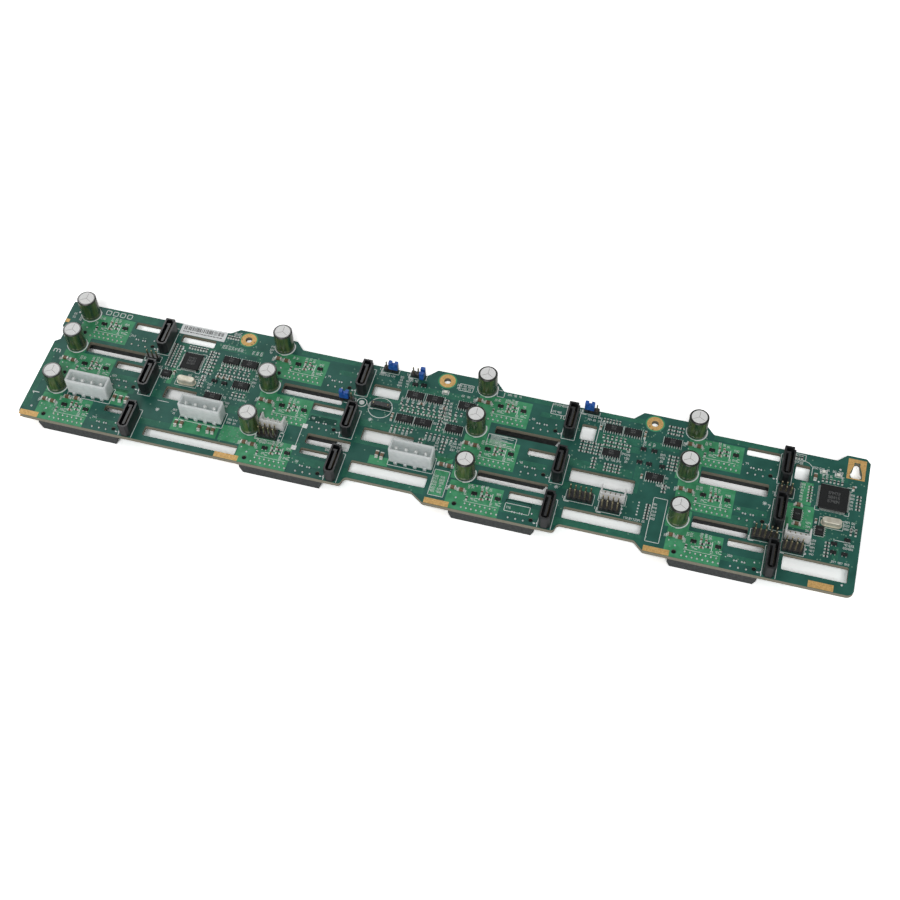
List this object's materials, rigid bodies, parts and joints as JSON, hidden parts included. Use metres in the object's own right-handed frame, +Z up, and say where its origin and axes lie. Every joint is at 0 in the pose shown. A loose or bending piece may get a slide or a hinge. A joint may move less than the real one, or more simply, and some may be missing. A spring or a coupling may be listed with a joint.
{
  "type": "drive backplane board",
  "caption": "Server drive backplane: a slotted circuit board with drive connectors under it and data, power and pin headers, capacitors and chips on top.",
  "frame": {"origin": "centre of the bounding box in plan, at the plane of the drive connectors' mouths", "axes": "+X along the board, +Y from the front edge to the edge with the mounting tabs, +Z up out of the side that carries the headers"},
  "size_m": [0.427, 0.0804, 0.0226],
  "materials": {
    "board": "satin solder mask over glass-epoxy laminate",
    "black_plastic": "moulded, matte",
    "pale_plastic": "moulded, satin",
    "white_plastic": "moulded, satin",
    "blue_plastic": "moulded, satin",
    "chip_black": "moulded epoxy, matte",
    "capacitor_sleeve": "glossy dark green sleeve over an aluminium can",
    "contact_gold": "gold-plated",
    "pin_gold": "pale gold plating",
    "pin_silver": "tin-plated brass",
    "can_steel": "satin nickel",
    "ceramic_brown": "fired ceramic",
    "led_clear": "clear over pale phosphor",
    "label_white": "paper label"
  },
  "bodies": {
    "root": {"blank_label": "label_white", "capacitor_1": "capacitor_sleeve", "capacitor_10": "capacitor_sleeve", "capacitor_11": "capacitor_sleeve", "capacitor_12": "capacitor_sleeve", "capacitor_2": "capacitor_sleeve", "capacitor_3": "capacitor_sleeve", "capacitor_4": "capacitor_sleeve", "capacitor_5": "capacitor_sleeve", "capacitor_6": "capacitor_sleeve", "capacitor_7": "capacitor_sleeve", "capacitor_8": "capacitor_sleeve", "capacitor_9": "capacitor_sleeve", "ceramic_capacitors": "ceramic_brown", "circuit_board": "board", "controller_chip": "chip_black", "crystals": "can_steel", "data_contacts": "contact_gold", "data_header_1": "black_plastic", "data_header_10": "black_plastic", "data_header_11": "black_plastic", "data_header_12": "black_plastic", "data_header_2": "black_plastic", "data_header_3": "black_plastic", "data_header_4": "black_plastic", "data_header_5": "black_plastic", "data_header_6": "black_plastic", "data_header_7": "black_plastic", "data_header_8": "black_plastic", "data_header_9": "black_plastic", "drive_connector_1": "black_plastic", "drive_connector_10": "black_plastic", "drive_connector_11": "black_plastic", "drive_connector_12": "black_plastic", "drive_connector_2": "black_plastic", "drive_connector_3": "black_plastic", "drive_connector_4": "black_plastic", "drive_connector_5": "black_plastic", "drive_connector_6": "black_plastic", "drive_connector_7": "black_plastic", "drive_connector_8": "black_plastic", "drive_connector_9": "black_plastic", "drive_contacts": "contact_gold", "fan_header_1": "white_plastic", "fan_header_2": "white_plastic", "fan_header_3": "white_plastic", "fan_header_pins": "pin_gold", "header_pins": "pin_gold", "interface_chip": "chip_black", "jumper_caps": "blue_plastic", "logic_chips": "chip_black", "memory_chips": "chip_black", "pin_header_bases": "black_plastic", "power_connector_1": "pale_plastic", "power_connector_2": "pale_plastic", "power_connector_3": "pale_plastic", "power_pins": "pin_silver", "status_leds": "led_clear", "transistors": "chip_black"}
  },
  "joints": []
}
